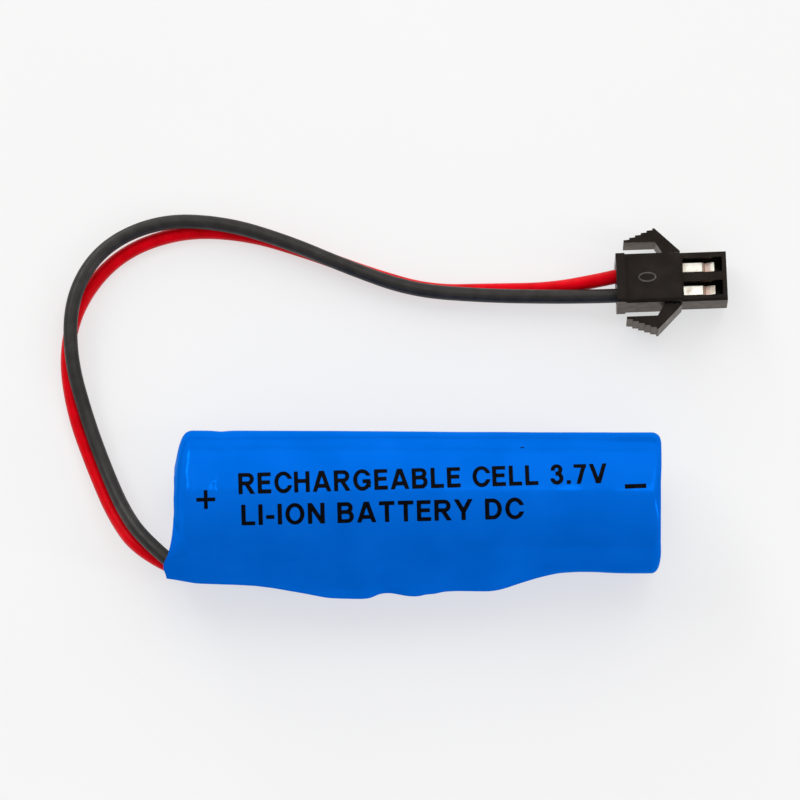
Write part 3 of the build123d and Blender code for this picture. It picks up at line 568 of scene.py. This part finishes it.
def film_distance(x, angle):
    """The skin's distance from the axis at one place, without dents and crinkles."""
    k = (angle + pi) / (2 * pi) * around
    low = int(k) % around
    row = skin_at(np.full(around, x))
    r = row[low] + (row[(low + 1) % around] - row[low]) * (k - int(k))
    return r + ripple(x, angle)


def printed(name, flat, left, middle, slope, cuts=True):
    """Wraps a flat mesh, in mm, round the film; left and middle place its origin on the skin.

    Cuts divide a mesh of few large faces about its origin, so that it can follow the skin.
    """
    for cut in np.arange(-cut_reach, cut_reach + cut_pitch / 2, cut_pitch) if cuts else ():
        for normal in ((0, 1, 0), (1, 0, 0)):
            geometry = flat.verts[:] + flat.edges[:] + flat.faces[:]
            bmesh.ops.bisect_plane(flat, geom=geometry, plane_co=(cut, cut, 0), plane_no=normal)
    bmesh.ops.triangulate(flat, faces=flat.faces[:])
    for vert in flat.verts:
        along = left + vert.co.x * cos(slope) - vert.co.y * sin(slope)
        rise = middle + vert.co.x * sin(slope) + vert.co.y * cos(slope)
        angle = pi / 2 + rise / print_radius
        vert.co = cell_point(along, angle, film_distance(along, angle) + ink_lift)
    piece = add_piece(name, mesh_from(name, flat), ink)
    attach(piece, "pack")


def bar(x, y, start, end, half):
    """Signed size of a straight stroke: below zero inside it."""
    (x0, y0), (x1, y1) = start, end
    length = np.hypot(x1 - x0, y1 - y0)
    ux, uy = (x1 - x0) / length, (y1 - y0) / length
    along = (x - x0) * ux + (y - y0) * uy
    off = np.abs((y - y0) * ux - (x - x0) * uy)
    return np.maximum(np.maximum(off - half, -along), along - length)


def bow(x, y, middle, radii, stroke):
    """Signed size of an oval ring."""
    def oval(rx, ry):
        return (np.hypot((x - middle[0]) / rx, (y - middle[1]) / ry) - 1) * min(rx, ry)
    return np.maximum(oval(*radii), -oval(radii[0] - stroke, radii[1] - stroke))


stroke = 0.188              # of the capitals' height, which is 1 below
h = stroke / 2
letter_gap = 0.15
grid_pitch = 0.055          # mm


def glyph(letter, x, y):
    """(advance width, signed size of the letter's shape over the grid x, y)."""
    rings = []
    w = {"I": stroke, "-": 0.36, ".": stroke, "L": 0.6, "E": 0.62, "T": 0.68, "H": 0.72, "N": 0.74,
         "A": 0.82, "V": 0.78, "Y": 0.78, "O": 0.84, "C": 0.76, "G": 0.82, "D": 0.74, "B": 0.72,
         "R": 0.74, "3": 0.6, "7": 0.58, " ": 0.26}[letter]
    lines = [((h, 0), (h, 1))] if letter in "ILEHNDBR" else []
    if letter in "HN":
        lines.append(((w - h, 0), (w - h, 1)))
    lines += {
        "-": [((0, 0.38), (w, 0.38))], ".": [((0, h), (w, h))],
        "L": [((0, h), (w, h))],
        "E": [((0, h), (w, h)), ((0, 0.52), (w - 0.05, 0.52)), ((0, 1 - h), (w - 0.01, 1 - h))],
        "T": [((0, 1 - h), (w, 1 - h)), ((w / 2, 0), (w / 2, 1))],
        "H": [((0, 0.53), (w, 0.53))],
        "N": [((0.06, 1.03), (w - 0.06, -0.03))],
        "A": [((0.07, -0.03), (w / 2 - 0.01, 1.02)), ((w - 0.07, -0.03), (w / 2 + 0.01, 1.02)),
              ((0.2, 0.27), (w - 0.2, 0.27))],
        "V": [((0.07, 1.03), (w / 2 - 0.01, -0.02)), ((w - 0.07, 1.03), (w / 2 + 0.01, -0.02))],
        "Y": [((0.06, 1.04), (w / 2, 0.4)), ((w - 0.06, 1.04), (w / 2, 0.4)),
              ((w / 2, 0), (w / 2, 0.48))],
        "G": [((w / 2 + 0.02, 0.43), (w - 0.02, 0.43)), ((w - h - 0.02, 0.13), (w - h - 0.02, 0.5))],
        "D": [((0, h), (0.34, h)), ((0, 1 - h), (0.34, 1 - h))],
        "B": [((0, h), (0.44, h)), ((0, 0.53), (0.44, 0.53)), ((0, 1 - h), (0.42, 1 - h))],
        "R": [((0, 0.5), (0.44, 0.5)), ((0, 1 - h), (0.44, 1 - h)), ((0.36, 0.5), (w - 0.07, -0.03))],
        "3": [((0.24, 0.53), (0.33, 0.53))],
        "7": [((0, 1 - h), (w, 1 - h)), ((w - 0.1, 0.95), (0.2, -0.03))],
    }.get(letter, [])
    size = np.full(x.shape, 9.0)
    for start, end in lines:
        size = np.minimum(size, bar(x, y, start, end, h))
    size = np.maximum(size, np.maximum(-y, y - 1))
    if letter in "OCG":
        ring = bow(x, y, (0.42, 0.5), (0.42, 0.52), stroke)
        if letter != "O":
            notch = np.maximum(0.5 - x, np.abs(y - 0.5 - (0.04 if letter == "G" else 0)) - 0.15)
            ring = np.maximum(ring, -notch)
        rings.append(ring)
    for kind, middle, radii in (
            ("D", (0.34, 0.5), (w - 0.34, 0.5)), ("B", (0.44, 0.31), (w - 0.44, 0.309)),
            ("B", (0.42, 0.73), (w - 0.46, 0.27)), ("R", (0.44, 0.705), (w - 0.46, 0.295))):
        if letter == kind:
            rings.append(np.maximum(bow(x, y, middle, radii, stroke), middle[0] - x))
    if letter == "3":
        for middle, radii, reach in (((0.3, 0.73), (0.27, 0.285), 0.18), ((0.3, 0.3), (0.3, 0.315), 0.20)):
            gap = np.maximum(x - 0.24, np.abs(y - 0.5) - reach)
            rings.append(np.maximum(bow(x, y, middle, radii, stroke), -gap))
    for ring in rings:
        size = np.minimum(size, ring)
    return w, size


def lettering(name, words, width, cap_height, left, middle, slope):
    """A line of generic bold capitals, fitted to a width and cap height in mm, as one flat skin."""
    pitch = grid_pitch / cap_height
    flat = bmesh.new()
    nowhere = np.zeros(1), np.zeros(1)
    advances = [glyph(letter, *nowhere)[0] for letter in words]
    stretch = width / (sum(advance + letter_gap for advance in advances) - letter_gap)
    start = 0.0
    for letter, advance in zip(words, advances):
        xs, ys = np.arange(-0.08, advance + 0.1, pitch), np.arange(-0.08, 1.1, pitch)
        grid_x, grid_y = np.meshgrid(xs, ys, indexing="ij")
        size = glyph(letter, grid_x, grid_y)[1]
        made = {}

        def spot(i, j, to=None):
            """A corner of the grid, or the place on one of its sides where the shape's edge crosses."""
            if (i, j, to) not in made:
                px, py = xs[i], ys[j]
                if to:
                    t = size[i, j] / (size[i, j] - size[to])
                    px, py = px + (xs[to[0]] - px) * t, py + (ys[to[1]] - py) * t
                place = ((start + px) * stretch, (py - 0.5) * cap_height, 0)
                made[i, j, to] = flat.verts.new(place)
            return made[i, j, to]

        for i in range(len(xs) - 1):
            for j in range(len(ys) - 1):
                loop = [(i, j), (i + 1, j), (i + 1, j + 1), (i, j + 1)]
                if all(size[c] >= 0 for c in loop):
                    continue
                corners = []
                for here, there in zip(loop, loop[1:] + loop[:1]):
                    if size[here] < 0:
                        corners.append(spot(*here))
                    if (size[here] < 0) != (size[there] < 0):
                        low, high = sorted((here, there))
                        corners.append(spot(*low, high))
                if len(corners) > 2:
                    flat.faces.new(corners)
        start += advance + letter_gap
    printed(name, flat, left, middle, slope, cuts=False)


def sign(name, outline, left, middle, slope):
    """A sign cut from one outline, in mm, about one place on the skin."""
    flat = bmesh.new()
    flat.faces.new([flat.verts.new((x, y, 0)) for x, y in outline])
    printed(name, flat, left, middle, slope)


def cross(arm, half):
    """Outline of an upright cross, from its arms' length and half-width."""
    corner = [(arm, -half), (arm, half), (half, half), (half, arm), (-half, arm), (-half, half)]
    return corner + [(-x, -y) for x, y in corner]


lettering("print_line_upper", "RECHARGEABLE CELL 3.7V", 38.2, 2.26, -18.5, 2.10, radians(1.84))
lettering("print_line_lower", "LI-ION BATTERY DC", 29.15, 2.2, -18.18, -1.22, radians(1.44))
sign("print_plus", cross(0.98, 0.195), -21.87, 0.42, radians(1.5))
sign("print_speck", [(-0.2, -0.05), (0.17, -0.1), (0.22, 0.03), (0.0, 0.09), (-0.18, 0.05)], 10.96, 6.7, 0)
sign("print_minus", [(-1.11, -0.23), (1.11, -0.23), (1.11, 0.23), (-1.11, 0.23)], 22.68, 1.84, radians(2.2))

# ---------------------------------------------------------------- floor
floor_data = bpy.data.meshes.new("floor")
half_floor = 2.0
floor_data.from_pydata([(-half_floor, -half_floor, 0), (half_floor, -half_floor, 0),
                        (half_floor, half_floor, 0), (-half_floor, half_floor, 0)], [], [(0, 1, 2, 3)])
floor_finish = procedural("floor_pale", (0.30, 0.30, 0.30), (0.31, 0.31, 0.31), 30,
                          rough=(0.65, 0.75), bump=0.02, bump_scale=300, specular=0.1)
floor_shader = floor_finish.node_tree.nodes["Principled BSDF"]
floor_shader.inputs["Emission Color"].default_value = (1, 1, 1, 1)
floor_shader.inputs["Emission Strength"].default_value = 0.58
add_piece("floor", floor_data, floor_finish)
